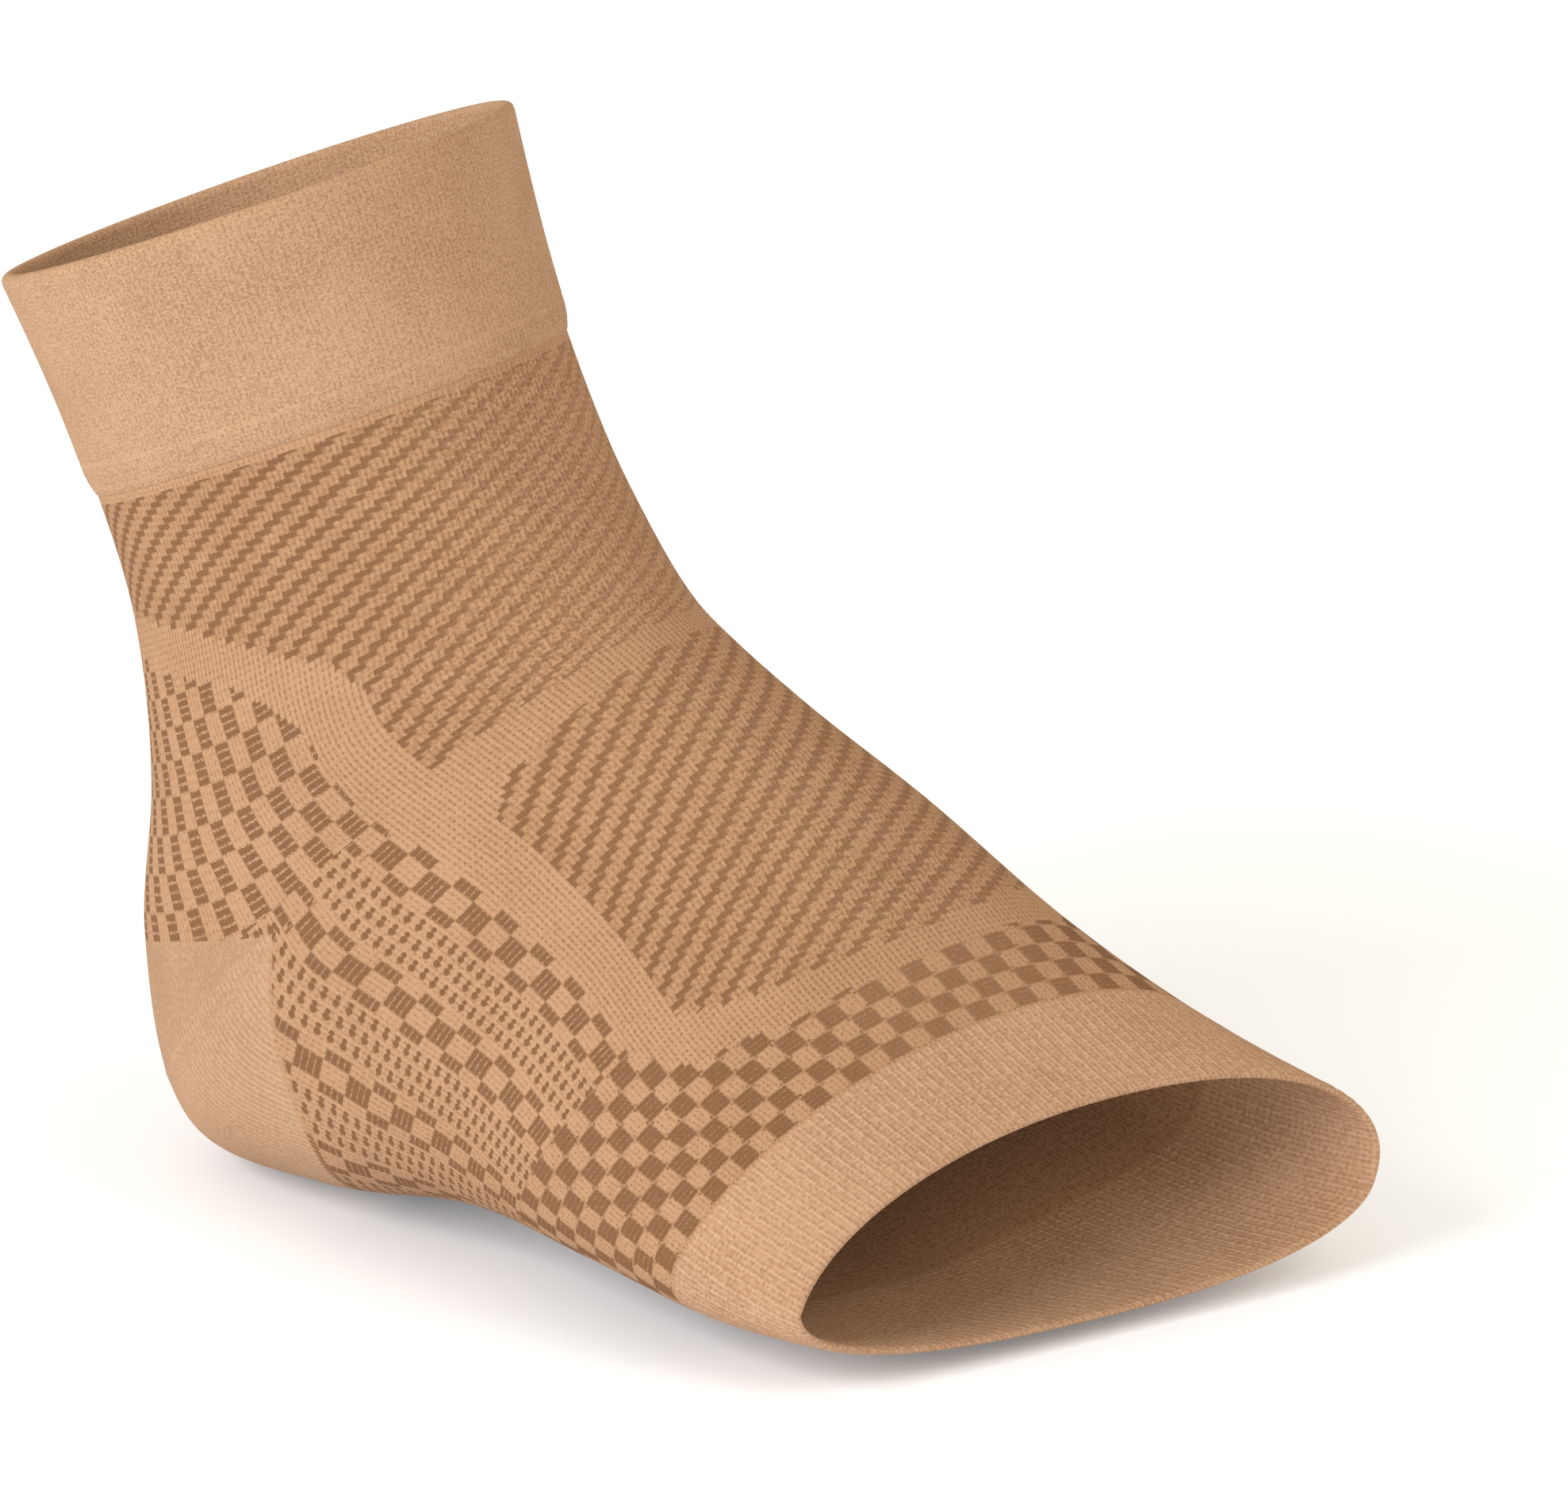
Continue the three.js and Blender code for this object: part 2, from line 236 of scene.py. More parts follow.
class Yarn:
    """One value in a knit's node tree. Sums on it add Math nodes, and node() adds any other kind."""

    def __init__(self, tree, socket=None):
        self.tree = tree
        self.socket = socket

    def node(self, kind, settings=None, sockets=None, out=0):
        made = self.tree.nodes.new("ShaderNode" + kind)
        for name, value in (settings or {}).items():
            if name == "points":
                self.bend(made, value)
            else:
                setattr(made, name, value)
        for name, value in (sockets or {}).items():
            if isinstance(value, Yarn):
                self.tree.links.new(value.socket, made.inputs[name])
            else:
                made.inputs[name].default_value = value
        return Yarn(self.tree, made.outputs[out])

    def bend(self, made, points):
        curve = made.mapping.curves[0]
        while len(curve.points) < len(points):
            curve.points.new(0.5, 0.5)
        for point, place in zip(curve.points, points):
            point.location = place
            point.handle_type = "VECTOR"
        made.mapping.update()

    def maths(self, operation, *values):
        return self.node("Math", {"operation": operation}, dict(enumerate(values)))

    def __add__(self, other):
        return self.maths("ADD", self, other)

    def __radd__(self, other):
        return self.maths("ADD", other, self)

    def __sub__(self, other):
        return self.maths("SUBTRACT", self, other)

    def __rsub__(self, other):
        return self.maths("SUBTRACT", other, self)

    def __mul__(self, other):
        return self.maths("MULTIPLY", self, other)

    def __truediv__(self, other):
        return self.maths("DIVIDE", self, other)

    def __mod__(self, other):
        return self.maths("FLOORED_MODULO", self, other)

    def __pow__(self, other):
        return self.maths("POWER", self, other)

    def __abs__(self):
        return self.maths("ABSOLUTE", self)

    def floor(self):
        return self.maths("FLOOR", self)

    def sine(self):
        return self.maths("SINE", self)

    def under(self, limit):
        return self.maths("LESS_THAN", self, limit)

    def over(self, limit):
        return self.maths("GREATER_THAN", self, limit)

    def eased(self, start, end):
        """0 up to start and 1 from end, or the other way round, with a soft change between them."""
        sockets = {"Value": self, "From Min": start, "From Max": end}
        return self.node("MapRange", {"interpolation_type": "SMOOTHSTEP"}, sockets)

    def tint(self, low, high):
        """A colour from low to high, by this value from 0 to 1."""
        made = self.tree.nodes.new("ShaderNodeMix")
        made.data_type = "RGBA"
        factor, first, second = made.inputs[0], made.inputs[6], made.inputs[7]
        for value, socket in ((self, factor), (low, first), (high, second)):
            if isinstance(value, Yarn):
                self.tree.links.new(value.socket, socket)
            else:
                socket.default_value = (*value, 1)
        return Yarn(self.tree, made.outputs[2])


def knit_finish(name):
    """A new matt knit material: its tree to add to, and its surface shader."""
    material = bpy.data.materials.new(name)
    material.use_nodes = True
    surface = material.node_tree.nodes["Principled BSDF"]
    surface.inputs["Roughness"].default_value = 0.88
    surface.inputs["Specular IOR Level"].default_value = 0.05
    return material, Yarn(material.node_tree), surface


def stitches(tree, map_name):
    """The wale and course counts of a knit, from the piece's map."""
    place = tree.node("UVMap", {"uv_map": map_name})
    split = tree.node("SeparateXYZ", sockets={"Vector": place})
    return split, Yarn(tree.tree, split.socket.node.outputs[1])


def fuzz(tree, size_mm, detail=3.0):
    """Even speckle from 0 to 1 over the piece, with specks of that size."""
    place = tree.node("TexCoord", out="Object")
    noise = tree.node("TexNoise", sockets={"Vector": place, "Scale": 1 / (size_mm * MM), "Detail": detail})
    return noise.eased(0.22, 0.78)


def loop_height(wale, course):
    """Height of plain loops from 0 to 1: each wale is a column of small V shapes."""
    leg = abs(wale % 1 - 0.5) * 2
    lean = abs((course + leg * 0.5) % 1 - 0.5) * 2
    return (1 - leg * leg) * 0.55 + (1 - lean * lean) * 0.45


def stitch_pits(wale, course):
    """The gaps from 0 to 1 between wales, which are deepest between two courses."""
    return (abs(wale % 1 - 0.5) * 2) ** 2 * (0.35 + (abs(course % 1 - 0.5) * 2) ** 2 * 0.65)


def finish_surface(tree, surface, colour, height, depth_mm, strength):
    """Links the colour and the relief of a knit to its shader."""
    relief = tree.node("Bump", sockets={"Height": height, "Distance": depth_mm * MM, "Strength": strength})
    tree.tree.links.new(colour.socket, surface.inputs["Base Color"])
    tree.tree.links.new(relief.socket, surface.inputs["Normal"])


# The doubled profile, from the top fold down the outside to the step and back up the inside
CUFF_PROFILE = [
    (0.0, -0.30), (0.05, 0.15), (0.25, 0.55), (0.6, 0.85), (1.3, CUFF_PROUD), (2.2, CUFF_PROUD),
    (29.0, CUFF_PROUD), (29.6, 0.94), (30.2, 0.98), (31.6, 0.92), (33.0, 0.72), (34.2, 0.40),
    (34.8, 0.20), (CUFF_END, 0.05), (CUFF_END, -KNIT_WALL), (30.0, -KNIT_WALL),
    (1.3, -KNIT_WALL), (0.5, -1.15), (0.1, -0.80), (0.0, -0.30),
]
CUFF_ROWS = 96


def cuff_places(count):
    """Even steps down the cuff's doubled profile, each a place along and a height over the form."""
    profile = np.array(CUFF_PROFILE)
    run = np.concatenate([[0], np.cumsum(np.hypot(*np.diff(profile, axis=0).T))])
    knots = np.unique(np.concatenate([np.linspace(0, run[-1], count + 1 - len(run) + 2), run]))
    even = np.interp(np.linspace(0, len(knots) - 1, count + 1), np.arange(len(knots)), knots)
    return np.interp(even, run, profile[:, 0]), np.interp(even, run, profile[:, 1])


ankle_cuff, column, row = knitted_panel("ankle_cuff_knit", WALES, CUFF_ROWS)
cuff_along, cuff_proud = cuff_places(CUFF_ROWS)
cuff_down = cuff_along[row.astype(int)]
cuff_wale = column - HALF_ROUND
wrap(ankle_cuff, worn(cuff_down, cuff_wale, cuff_proud[row.astype(int)]))
lay_out(ankle_cuff, "Stitch", cuff_wale, cuff_down / CUFF_COURSE)
close_round(ankle_cuff)

cuff_knit, tree, surface = knit_finish("cuff_knit")
wale, course = stitches(tree, "Stitch")
loops = loop_height(wale, course)
grain = fuzz(tree, CUFF_GRAIN)
cloud = fuzz(tree, CLOUD, CLOUD_DETAIL)
upper_line, lower_line = (abs(course - place).eased(1.0, 0.2) for place in CUFF_STITCH_LINES)
stitch_line = upper_line + lower_line
# Raised loops are painted lighter and the gaps between them darker, as painted light and shade of the stitch
# relief, over the yarn's real speckle and cloudy tone.
light = (loops * 0.28 + grain * 0.72 + (cloud - 0.5) * 0.15 + stitch_line * 0.10).eased(0.10, 0.86)
finish_surface(tree, surface, light.tint(CUFF_SPECKLE_AND_SHADE_COLOUR, CUFF_COLOUR),
               loops * 0.3 + grain * 0.4 + stitch_line * 0.2, 0.20, 0.7)
ankle_cuff.data.materials.append(cuff_knit)
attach(ankle_cuff, "root")
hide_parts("ankle_cuff")

# Sleeve body
# The tube over ankle, instep and arch, knitted round on 288 needles in one layer of the same yarn. Sunk
# stitches make darker stripes, checks, chains and dots, with bands of open mesh between them.
NEEDLES = 288
TOE_BAND_START = 187.0
HEEL_MEETS = 102.0
HEEL_SIDE = 59.73
HEEL_RISE = 14.0
HEEL_REACH = 31.0
HEEL_CURVE = 2.5
LEG_COURSES = 74
FOOT_COURSES = 94
BODY_COLOUR = (0.430, 0.256, 0.152)
# The darker end of the ground's speckle, also the painted shade in the pits between stitches
BODY_SPECKLE_AND_SHADE_COLOUR = (0.258, 0.133, 0.068)
MARK_COLOUR = (0.172, 0.081, 0.037)
BODY_GRAIN = 0.5
INSIDE_GRAIN = 0.55

# How the knit is pulled when worn. Its wales stand apart at the front, swing forward above the heel pocket
# and turn a little near the toe edge. A course's height is given along the sleeve, and courses dip at the
# heel pocket. At the bend of the ankle the stripes' courses are gathered and let go again.
FRONT_GAP = 0.21
SWING_AT = 78.0
SWING_LEAN = 0.41
SWING_HALF = 19.0
HEEL_BOW = 2.0
TOE_BOW = 10.0
TOE_TURN = 8.5
TURN_FROM = 114.0
TURN_OVER = 61.0
COURSE_ALONG = [35, 50, 65, 80, 95, 107, 119, 131, 145, 209]
COURSE_HEIGHT = [0.80, 0.90, 1.10, 1.28, 1.36, 1.25, 1.14, 0.98, 0.92, 0.87]
LAST_COURSE = 186.5
DIP_FROM = 61.0
LEG_DIP = (55.0, 0.36)
FOOT_DIP = (160.0, 0.55)
BEND_COURSES = 5.75
BEND_GATHER = (70, 104)
BEND_LET_GO = (99, 108)

# The chart. Stripes move two needles a course, and fade at the front, where the knit is pulled flat. Checks
# are four needles by four courses, and chains of checks repeat with three columns of dots between them. The
# edges give how many needles round from the front line the stripes reach and the checks begin.
STRIPE_REPEAT = 8
STRIPE_WIDTH = 3
STRIPE_SHIFT = 1
FADE_SHIFT = 12
FADE_BY = (56, 8)
FADE_LESS = (94, 112)
CHECK = 4
TOE_CHECK_SHIFT = 5
TOE_CHECKS_FROM = -32
CHAIN_FIRST = 54
CHAIN_REPEAT = 18
CHAIN_SHIFT = 5
CHAINS_FROM = 99.0
DOTS_FROM = 4.2
DOTS_TO = 13.2
DOT_APART = 3
DOT_COURSES = 2
DOT_STEP = 0.36
DOT_SHIFT = 1.7
SEAM_FROM = 92
SEAM_LINE = 0.7
SEAM_HALF = 0.6
SEAM_STITCH = 0.4
STRIPES_FROM = 36.2
WIDEST = 200.0
FORM_LENGTH = 209.0
STRIPE_EDGE = [
    (0, 200), (50.4, 200), (50.6, 140), (51, 100), (52.5, 87), (55, 74), (59, 64), (62, 58), (66, 51.5),
    (71, 44.5), (78, 40), (98, 40), (98.6, 0), (107, 0), (107.5, 21), (110, 34), (115, 40), (158, 40),
    (162, 33), (165, 24), (167, 11), (167.6, 0), (209, 0),
]
CHECK_EDGE = [
    (0, 200), (51.9, 200), (52, 144), (56, 101), (59, 87), (62, 75), (64, 67.5), (67.5, 62), (72, 56.5),
    (77, 52.4), (82.5, 51), (106, 51), (107, 49.2), (157, 49.2), (163, 46), (167, 42), (169, 33),
    (171.8, 24), (172.2, 0), (186.4, 0), (186.5, 200), (209, 200),
]


def heel_opening(wale):
    """How far the heel's opening has spread at a wale, from 0 at its side points to 1 at the back."""
    return 1 - np.minimum(1, np.abs(HALF_ROUND - np.abs(wale)) / HEEL_SIDE) ** HEEL_CURVE


def ease(t):
    """A soft step from 0 to 1."""
    t = np.clip(t, 0, 1)
    return t * t * (3 - 2 * t)


def needle_at(wale, along):
    """Needles counted round from the front line, where the worn knit has them."""
    side = np.abs(wale)
    gap = FRONT_GAP * wale * (1 - (side / HALF_ROUND) ** 5)
    bow = np.sin(math.pi * wale / HALF_ROUND)
    swing_at = np.clip(SWING_AT + SWING_LEAN * (84 - side), 70, 93)
    swung = ease((along - swing_at + SWING_HALF) / (2 * SWING_HALF))
    turned = ease((along - TURN_FROM) / TURN_OVER)
    pulled = (HEEL_BOW * swung - TOE_BOW * turned) * bow - TOE_TURN * turned
    return wale * NEEDLES / WALES - gap * (1 - swung) + pulled


def course_at(wale, along):
    """Courses counted back from the toe band, which dip towards the heel pocket from both sides of it."""
    dip = ease((np.abs(wale) - DIP_FROM) / (HALF_ROUND - DIP_FROM))
    on_leg = LEG_DIP[1] * np.maximum(0, along - LEG_DIP[0])
    on_foot = FOOT_DIP[1] * np.minimum(0, along - FOOT_DIP[0])
    line = along + dip * np.where(along < HEEL_MEETS, on_leg, on_foot)
    fine = np.arange(0, FORM_LENGTH, 0.1)
    count = np.cumsum(0.1 / np.interp(fine, COURSE_ALONG, COURSE_HEIGHT))
    return np.interp(line, fine, count) - np.interp(LAST_COURSE, fine, count)


def body_panel(name, courses, first, last):
    """One panel of the tube, from one edge line to the other, with its maps of place and of stitches."""
    panel, column, row = knitted_panel(name, WALES, courses)
    wale = column - HALF_ROUND
    along = first(wale) + (last(wale) - first(wale)) * row / courses
    wrap(panel, worn(along, wale, 0))
    lay_out(panel, "Place", wale, along)
    lay_out(panel, "Stitch", needle_at(wale, along), course_at(wale, along))
    note(panel, "from_heel", np.where(along < HEEL_MEETS, WALES, along - first(wale)))
    return panel


leg_panel = body_panel("sleeve_body_knit", LEG_COURSES, lambda wale: CUFF_END,
                       lambda wale: HEEL_MEETS - HEEL_RISE * heel_opening(wale))
foot_panel = body_panel("foot_panel", FOOT_COURSES,
                        lambda wale: HEEL_MEETS + HEEL_REACH * heel_opening(wale),
                        lambda wale: TOE_BAND_START)
bpy.ops.object.select_all(action="DESELECT")
foot_panel.select_set(True)
leg_panel.select_set(True)
bpy.context.view_layer.objects.active = leg_panel
bpy.ops.object.join()
sleeve_body = leg_panel
close_round(sleeve_body)


def give_wall(piece):
    """Thickens the knit inwards, with its inside in the piece's second material."""
    wall = piece.modifiers.new("wall", "SOLIDIFY")
    wall.thickness = KNIT_WALL * MM
    wall.offset = -1
    wall.material_offset = 1
    bpy.context.view_layer.objects.active = piece
    bpy.ops.object.modifier_apply(modifier=wall.name)
    smooth(piece)


# Where the strips of the flat map lie, from 0 to 1 up the picture
OUTSIDE_FROM = 0.01
OUTSIDE_STRIP = 0.80
INSIDE_FROM = 0.83
INSIDE_STRIP = 0.16
RIM_STRIP = 0.006


def flat_map(piece):
    """A map for baked pictures: the outside laid flat, the inside in a strip above it, and narrow rims."""
    mesh = piece.data
    place = np.empty(len(mesh.loops) * 2)
    mesh.uv_layers["Place"].uv.foreach_get("vector", place)
    wale, along = place.reshape(-1, 2).T
    corner = np.empty(len(mesh.loops), int)
    mesh.loops.foreach_get("vertex_index", corner)
    inner = corner >= len(mesh.vertices) // 2
    sides = np.empty(len(mesh.polygons), int)
    mesh.polygons.foreach_get("loop_total", sides)
    inner_share = np.repeat(np.add.reduceat(inner, np.cumsum(sides) - sides) / sides, sides)
    down = (along - CUFF_END) / (TOE_BAND_START - CUFF_END)
    at_start = np.where(along < HEEL_MEETS, along < CUFF_END + 1, along < TOE_BAND_START - 1)
    rim = np.where(inner, RIM_STRIP, 0) * np.where(at_start, -1, 1)
    outside_up = OUTSIDE_FROM + down * OUTSIDE_STRIP + rim
    up = np.where(inner_share == 1, INSIDE_FROM + down * INSIDE_STRIP, outside_up)
    layer = mesh.uv_layers.new(name="OFBake")
    layer.uv.foreach_set("vector", np.stack([wale / WALES + 0.5, up], axis=1).ravel())


def chart_edge(table, along):
    """How many needles round from the front line an edge of the chart lies, at a place along the sleeve."""
    points = [(place / FORM_LENGTH, reach / WIDEST) for place, reach in table]
    return along.node("FloatCurve", {"points": points}, {"Value": along / FORM_LENGTH}) * WIDEST


def dash(part, ripple):
    """The profile of one sunk course: a soft dash that swells at every loop."""
    return (abs(part - 0.5) + ripple).eased(0.50, 0.34)


body_knit, tree, surface = knit_finish("body_knit")
needle, course = stitches(tree, "Stitch")
wale, along = stitches(tree, "Place")
grain = fuzz(tree, BODY_GRAIN)
ripple = abs(needle % 1 - 0.5) * 0.30 + (grain - 0.5) * 0.22 - 0.05
mid_needle = needle.floor() + 0.5
reach = abs(mid_needle)

# Stripes, with their courses drawn together at the front bend of the ankle
bend = (along.eased(*BEND_GATHER) - along.eased(*BEND_LET_GO)) * BEND_COURSES
stripe_course = course + bend
stripe_row = stripe_course.floor()
stripe_place = (needle - stripe_row * 2 + STRIPE_SHIFT) % STRIPE_REPEAT
stripe = stripe_place.eased(0.0, 0.4) * stripe_place.eased(STRIPE_WIDTH + 0.5, STRIPE_WIDTH + 0.1)
stripe_along = along + stripe_row + 0.5 - stripe_course
in_stripes = reach.under(chart_edge(STRIPE_EDGE, stripe_along)) * along.over(STRIPES_FROM)
stripe = stripe * in_stripes * (abs(stripe_course % 1 - 0.5) + ripple).eased(0.62, 0.38)
fade = abs(mid_needle + FADE_SHIFT).eased(*FADE_BY) * (1 - along.eased(*FADE_LESS) * 0.45)
stripe_depth = 0.94 - fade * 0.56

# Checks above the heel pocket and next to the toe band
in_checks = reach.over(chart_edge(CHECK_EDGE, along + course.floor() + 0.5 - course))
on_foot = along.over(CHAINS_FROM)
at_toes = course.over(TOE_CHECKS_FROM)


def tiles(shift):
    """Checks of whole stitches, which are 1 inside and 0 between."""
    tile = ((needle + shift) / CHECK).floor() + (course / CHECK).floor()
    side = (needle + shift) % CHECK
    return (tile % 2).under(0.5) * side.eased(0.0, 0.3) * side.eased(CHECK, CHECK - 0.3)


def drawn_checks(shift):
    """Checks drawn in at the corners, with an edge that waves from stitch to stitch."""
    wave = ((needle + shift) * (math.pi / CHECK)).sine() * (course * (math.pi / CHECK)).sine()
    wobble = abs(needle % 1 - 0.5) + abs(course % 1 - 0.5) - 0.5
    return (wave - wobble * 0.34 + (grain - 0.5) * 0.25).eased(-0.10, 0.08)


# Chains and dots along the side, in front of the heel pocket
across = (needle - CHAIN_FIRST) % CHAIN_REPEAT
from_chain = abs((across + CHAIN_REPEAT / 2) % CHAIN_REPEAT - CHAIN_REPEAT / 2)
whole_row = (((course + CHAIN_SHIFT) / CHECK).floor() % 2).under(0.5)
middle = from_chain.eased(CHECK / 2 + 0.2, CHECK / 2 - 0.2)
chain = middle * whole_row + (from_chain.eased(CHECK + 0.2, CHECK - 0.2) - middle) * (1 - whole_row)
dot_across = across - DOTS_FROM
dot_place = dot_across % DOT_APART - DOT_APART / 2 + 0.1
dot_row = course + (dot_across / DOT_APART).floor() * DOT_STEP - DOT_SHIFT - dot_place * 0.1
dot_row = (dot_row + DOT_COURSES / 2) % DOT_COURSES - DOT_COURSES / 2
dot_reach = ((abs(dot_place) - 0.50) ** 2 + (dot_row * 1.2) ** 2) ** 0.5 + (grain - 0.5) * 0.14
dot = (dot_reach - dot_place * 0.15).eased(0.66, 0.42) * across.over(DOTS_FROM) * across.under(DOTS_TO)
leg_checks = tiles(0) * dash(course % 1, ripple + 0.03)
toe_checks = drawn_checks(TOE_CHECK_SHIFT) * (dash(course % 1, ripple - 0.06) * 0.7 + 0.3)
toe_checks = toe_checks * (0.74 + reach.eased(4, 40) * 0.26)
side_marks = chain * (dash(course % 1, ripple) * 0.85 + 0.15) + dot
block = leg_checks * (1 - on_foot) + (side_marks * (1 - at_toes) + toe_checks * at_toes) * on_foot

# A row of sunk stitches where the front panel is picked up along the heel pocket
from_heel = tree.node("Attribute", {"attribute_name": "from_heel"}, out="Fac")
seam_down = (from_heel - SEAM_LINE) / SEAM_HALF
seam_aside = (needle % 1 - 0.5) / SEAM_STITCH
seam = (seam_down ** 2 + seam_aside ** 2).eased(1.1, 0.5) * abs(wale).over(SEAM_FROM)
mark = stripe * stripe_depth + block * in_checks * from_heel.eased(0.6, 1.4) + seam * 0.9

# Stitches and pits of the ground, deeper in the mesh bands. The pits are painted darker as shade, most in the
# open mesh, and the ground in the stripes is painted darker towards the sides as shade.
mesh = (1 - in_checks) * (1 - in_stripes) * along.over(STRIPES_FROM)
pits = stitch_pits(needle, course)
cloud = fuzz(tree, CLOUD, CLOUD_DETAIL)
shaded = in_stripes * (0.08 + reach.eased(0, 48) * 0.14)
light = 0.64 + grain * 0.5 + (cloud - 0.5) * 0.15 - pits * (0.62 + mesh * 0.24) - shaded
light = light + (grain - 0.5) * fade * in_stripes * 0.75
ground = light.eased(0.05, 1.10).tint(BODY_SPECKLE_AND_SHADE_COLOUR, BODY_COLOUR)
colour = (mark * (0.80 + grain * 0.2)).tint(ground, MARK_COLOUR)
finish_surface(tree, surface, colour, grain * 0.35 - pits * (0.45 + mesh * 0.25) - mark * 0.5, 0.22, 0.8)

inside_knit, tree, surface = knit_finish("inside_knit")
needle, course = stitches(tree, "Stitch")
loops = loop_height(needle, course)
grain = fuzz(tree, INSIDE_GRAIN)
# The loops are painted lighter and the gaps between them darker, as painted shade of the stitch relief, over
# real speckle.
light = (loops * 0.4 + grain * 0.7).eased(0.05, 0.95)
finish_surface(tree, surface, light.tint(BODY_SPECKLE_AND_SHADE_COLOUR, BODY_COLOUR), loops, 0.18, 0.6)
sleeve_body.data.materials.append(body_knit)
sleeve_body.data.materials.append(inside_knit)
give_wall(sleeve_body)
flat_map(sleeve_body)
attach(sleeve_body, "root")
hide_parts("sleeve_body")

# Heel pocket
# The plain heel, knitted to and fro on half the needles, so it bags out as a wedge from a point on each side.
# Same yarn with no sunk stitches. A fine gore line runs back from each point where its two halves meet.
HEEL_FROM = 68
HEEL_COLUMNS = WALES - 2 * HEEL_FROM
HEEL_ROWS = 72
HEEL_COLOUR = (0.480, 0.304, 0.192)
# The darker end of the heel's speckle, also the painted shade between its loops
HEEL_SPECKLE_AND_SHADE_COLOUR = (0.330, 0.195, 0.117)
GORE = 103.0
GORE_PROUD = 0.12
GORE_HALF = 0.7
HEEL_COURSE = 1.2
HEEL_GRAIN = 0.6

heel_pocket, column, row = knitted_panel("heel_pocket_knit", HEEL_COLUMNS, HEEL_ROWS)
heel_wale = column + HEEL_FROM
spread = np.maximum(0, heel_opening(np.where(heel_wale > HALF_ROUND, heel_wale - WALES, heel_wale)))
heel_top, heel_front = HEEL_MEETS - HEEL_RISE * spread, HEEL_MEETS + HEEL_REACH * spread
heel_along = heel_top + (heel_front - heel_top) * row / HEEL_ROWS
gore_along = HEEL_MEETS + (GORE - HEEL_MEETS) * spread
from_edge = np.where(heel_along < gore_along, heel_along - heel_top, heel_front - heel_along)
ridge = GORE_PROUD * np.exp(-((heel_along - gore_along) / GORE_HALF) ** 2) * np.minimum(1, spread * 3)
wrap(heel_pocket, worn(heel_along, heel_wale, ridge))
lay_out(heel_pocket, "Stitch", heel_wale, from_edge / HEEL_COURSE)
note(heel_pocket, "gore", heel_along - gore_along)
close_round(heel_pocket)

heel_knit, tree, surface = knit_finish("heel_knit")
wale, course = stitches(tree, "Stitch")
gore = tree.node("Attribute", {"attribute_name": "gore"}, out="Fac")
loops = loop_height(wale, course)
wale_line = abs(wale % 1 - 0.5).eased(0.15, 0.45) * gore.eased(-1.0, 4.0)
grain = fuzz(tree, HEEL_GRAIN)
cloud = fuzz(tree, CLOUD, CLOUD_DETAIL)
gore_line = abs(gore).eased(1.1, 0.3) * abs(wale % 1 - 0.5).eased(0.15, 0.4)
# The loops are painted lighter and the gaps between them darker, as painted shade of the stitch relief, with
# the real speckle, cloudy tone and the lighter wale and gore lines.
light = loops * 0.2 + wale_line * 0.38 + grain * 0.45 + (cloud - 0.5) * 0.15 + gore_line * 0.32
finish_surface(tree, surface, light.eased(0.05, 0.95).tint(HEEL_SPECKLE_AND_SHADE_COLOUR, HEEL_COLOUR),
               loops * 0.3 + wale_line * 0.35 + gore_line * 0.3 + grain * 0.3, 0.18, 0.7)
heel_pocket.data.materials.append(heel_knit)
heel_pocket.data.materials.append(heel_knit)
give_wall(heel_pocket)
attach(heel_pocket, "root")
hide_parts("heel_pocket")

# Toe band
# The open front edge: a narrow band of one-and-one rib in the same yarn, knitted on at the end of the tube.
# Its ribs run along the sleeve and stand up a little, and its free edge is turned over small and round.
RIB_WALES = 2
RIB_STEPS = 4
RIB_HEIGHT = 0.12
RIB_SHIFT = 0.9
RIB_EASE = 2.0
HALF_WALL = KNIT_WALL / 2
TOE_COURSE = 0.8
TOE_GRAIN = 0.6
TOE_COLOUR = (0.500, 0.314, 0.202)
# The darker end of the band's speckle, also the painted shade between its ribs
TOE_SPECKLE_AND_SHADE_COLOUR = (0.315, 0.172, 0.097)
TOE_COLUMNS = WALES // RIB_WALES * RIB_STEPS
TOE_PROFILE = [
    (TOE_BAND_START, 0.0), (190.0, 0.0), (193.0, 0.0), (196.0, 0.0), (199.0, 0.0), (202.0, 0.0),
    (205.0, 0.0), (207.2, 0.0), (208.0, -0.05), (208.5, -0.17), (208.85, -0.38), (FORM_LENGTH, -HALF_WALL),
    (208.85, -0.92), (208.5, -1.13), (208.0, -1.25), (207.2, -KNIT_WALL), (202.0, -KNIT_WALL),
    (196.0, -KNIT_WALL), (190.0, -KNIT_WALL), (TOE_BAND_START, -KNIT_WALL), (TOE_BAND_START, 0.0),
]

toe_band, column, row = knitted_panel("toe_band_knit", TOE_COLUMNS, len(TOE_PROFILE) - 1)
toe_profile = np.array(TOE_PROFILE)[row.astype(int)]
toe_wale = column * RIB_WALES / RIB_STEPS - HALF_ROUND
rib = np.cos(2 * math.pi * (toe_wale - RIB_SHIFT) / RIB_WALES)
outside = np.clip((toe_profile[:, 1] + HALF_WALL) / HALF_WALL, -1, 1)
start = np.clip((toe_profile[:, 0] - TOE_BAND_START) / RIB_EASE, 0, 1)
toe_proud = toe_profile[:, 1] + RIB_HEIGHT * 0.5 * rib * outside * start
wrap(toe_band, worn(toe_profile[:, 0], toe_wale, toe_proud))
lay_out(toe_band, "Stitch", toe_wale, toe_profile[:, 0] / TOE_COURSE)
close_round(toe_band)

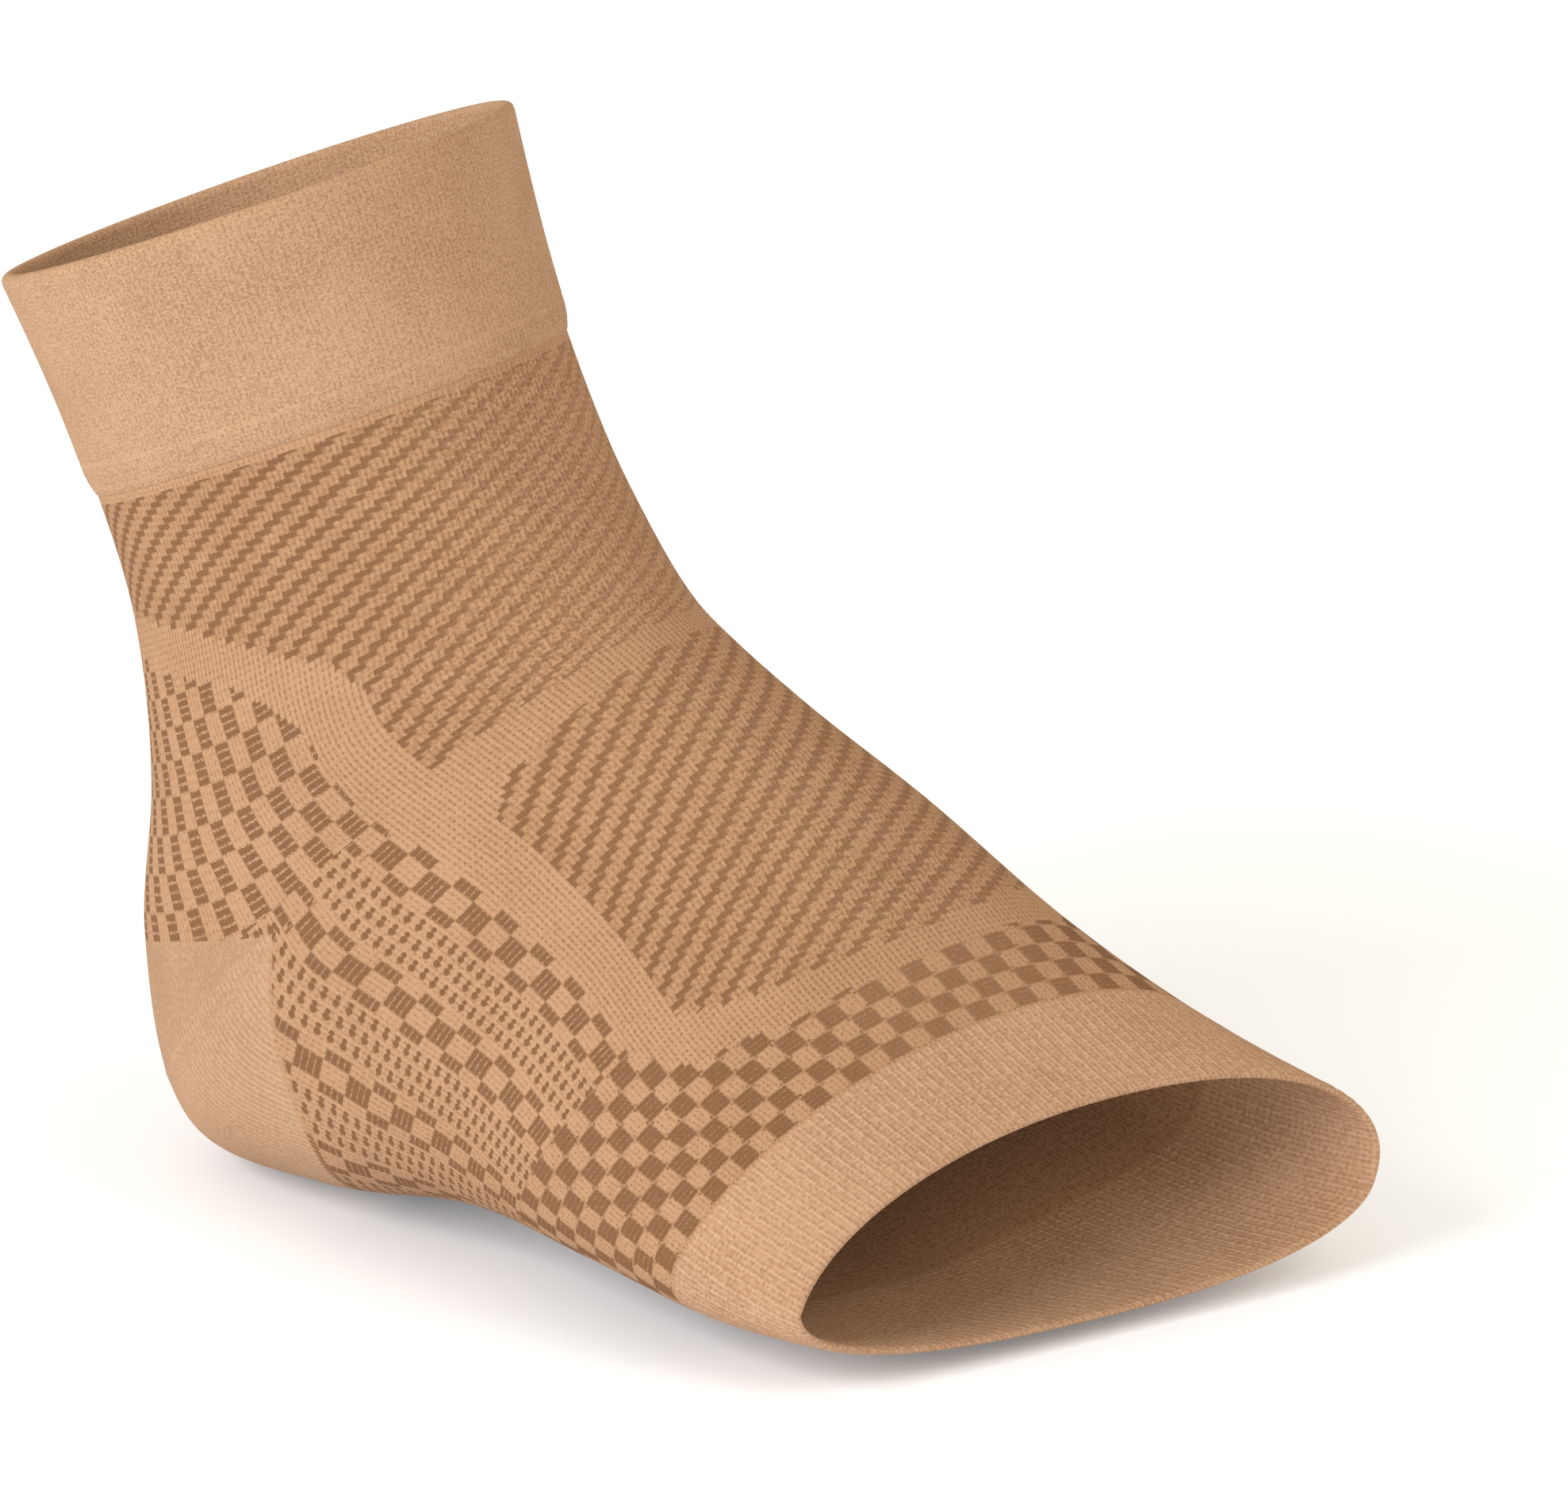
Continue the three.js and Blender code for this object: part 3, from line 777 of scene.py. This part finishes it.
toe_rib, tree, surface = knit_finish("toe_rib")
wale, course = stitches(tree, "Stitch")
off_rib = abs(((wale - RIB_SHIFT) / RIB_WALES + 0.5) % 1 - 0.5) * 2
grain = fuzz(tree, TOE_GRAIN)
rib_line = (off_rib + abs(course % 1 - 0.5) * 0.5 - (grain - 0.5) * 0.4).eased(0.58, 0.10)
pits = stitch_pits(wale + 0.5 - RIB_SHIFT, course)
cloud = fuzz(tree, CLOUD, CLOUD_DETAIL)
# The raised ribs are painted lighter as a painted highlight and the pits between them darker as painted
# shade, over real speckle and cloudy tone.
light = 0.37 + rib_line * 0.32 + grain * 0.45 + (cloud - 0.5) * 0.15 - pits * (1 - rib_line) * 0.35
finish_surface(tree, surface, light.eased(0.05, 0.95).tint(TOE_SPECKLE_AND_SHADE_COLOUR, TOE_COLOUR),
               rib_line * 0.5 + grain * 0.3 - pits * 0.3, 0.2, 0.8)
toe_band.data.materials.append(toe_rib)
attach(toe_band, "root")
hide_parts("toe_band")

# Floor, light and camera
# A pale studio floor, one large soft lamp at the front left, a weaker one at the right, and a long lens.
FLOOR_COLOUR = (0.94, 0.955, 1.0)
FLOOR_GLOW = 0.13
FLOOR_GLOW_COLOUR = (0.58, 0.82, 1.0)
FLOOR_SIZE = 30.0
FLOOR_BELOW = 0.0002
COOL_WHITE = (0.95, 0.98, 1.0)
WARM_WHITE = (1.0, 0.93, 0.82)
AIR_COLOUR = (1.0, 0.915, 0.77)
AIR_STRENGTH = 0.78
LENS = 390.4
SENSOR = 36.0
CAMERA_TURN = math.radians(33.92)
CAMERA_RISE = math.radians(19.32)
CAMERA_AWAY = 2.5
CAMERA_AIM = np.array([0.0586, 0.0142, 0.0731])

right = np.array([math.cos(CAMERA_TURN), math.sin(CAMERA_TURN), 0])
towards = np.array([math.sin(CAMERA_TURN) * math.cos(CAMERA_RISE),
                    -math.cos(CAMERA_TURN) * math.cos(CAMERA_RISE), math.sin(CAMERA_RISE)])
upward = np.array([0, 0, 1.0])

bpy.ops.object.select_all(action="DESELECT")
bpy.ops.mesh.primitive_grid_add(x_subdivisions=2, y_subdivisions=2, size=FLOOR_SIZE,
                                location=(0, 0, cad_box[0][2] - FLOOR_BELOW))
studio_floor = bpy.context.object
studio_floor.name = "studio_floor"
floor_paint = bpy.data.materials.new("floor_paint")
floor_paint.use_nodes = True
floor_surface = floor_paint.node_tree.nodes["Principled BSDF"]
floor_surface.inputs["Base Color"].default_value = (*FLOOR_COLOUR, 1)
floor_surface.inputs["Roughness"].default_value = 0.8
floor_surface.inputs["Emission Color"].default_value = (*FLOOR_GLOW_COLOUR, 1)
floor_surface.inputs["Emission Strength"].default_value = FLOOR_GLOW
studio_floor.data.materials.append(floor_paint)


def soft_lamp(name, place, size, power, colour):
    """A square lamp that faces the sleeve."""
    bpy.ops.object.light_add(type="AREA", location=CAMERA_AIM + place)
    lamp = bpy.context.object
    lamp.name = name
    lamp.data.size = size
    lamp.data.energy = power
    lamp.data.color = colour
    aim = bpy.data.objects["body:root"].location - lamp.location
    lamp.rotation_euler = aim.to_track_quat("-Z", "Y").to_euler()


left_place = -right * 1.55 + towards * 1.15 + upward * 0.5
right_place = right * 1.35 + towards * 0.8 + upward * 0.9
soft_lamp("left_lamp", left_place, size=1.4, power=38, colour=COOL_WHITE)
soft_lamp("right_lamp", right_place, size=1.2, power=11, colour=WARM_WHITE)

world = bpy.data.worlds.new("studio_air")
bpy.context.scene.world = world
world.use_nodes = True
world_air = world.node_tree.nodes["Background"]
world_air.inputs["Color"].default_value = (*AIR_COLOUR, 1)
world_air.inputs["Strength"].default_value = AIR_STRENGTH
bpy.context.scene.view_settings.view_transform = "Standard"

bpy.ops.object.camera_add(location=CAMERA_AIM + towards * CAMERA_AWAY)
camera = bpy.context.object
camera.name = "studio_camera"
camera.data.lens = LENS
camera.data.sensor_width = SENSOR
camera.data.clip_end = 100
camera.rotation_euler = (math.pi / 2 - CAMERA_RISE, 0, CAMERA_TURN)
bpy.context.scene.camera = camera
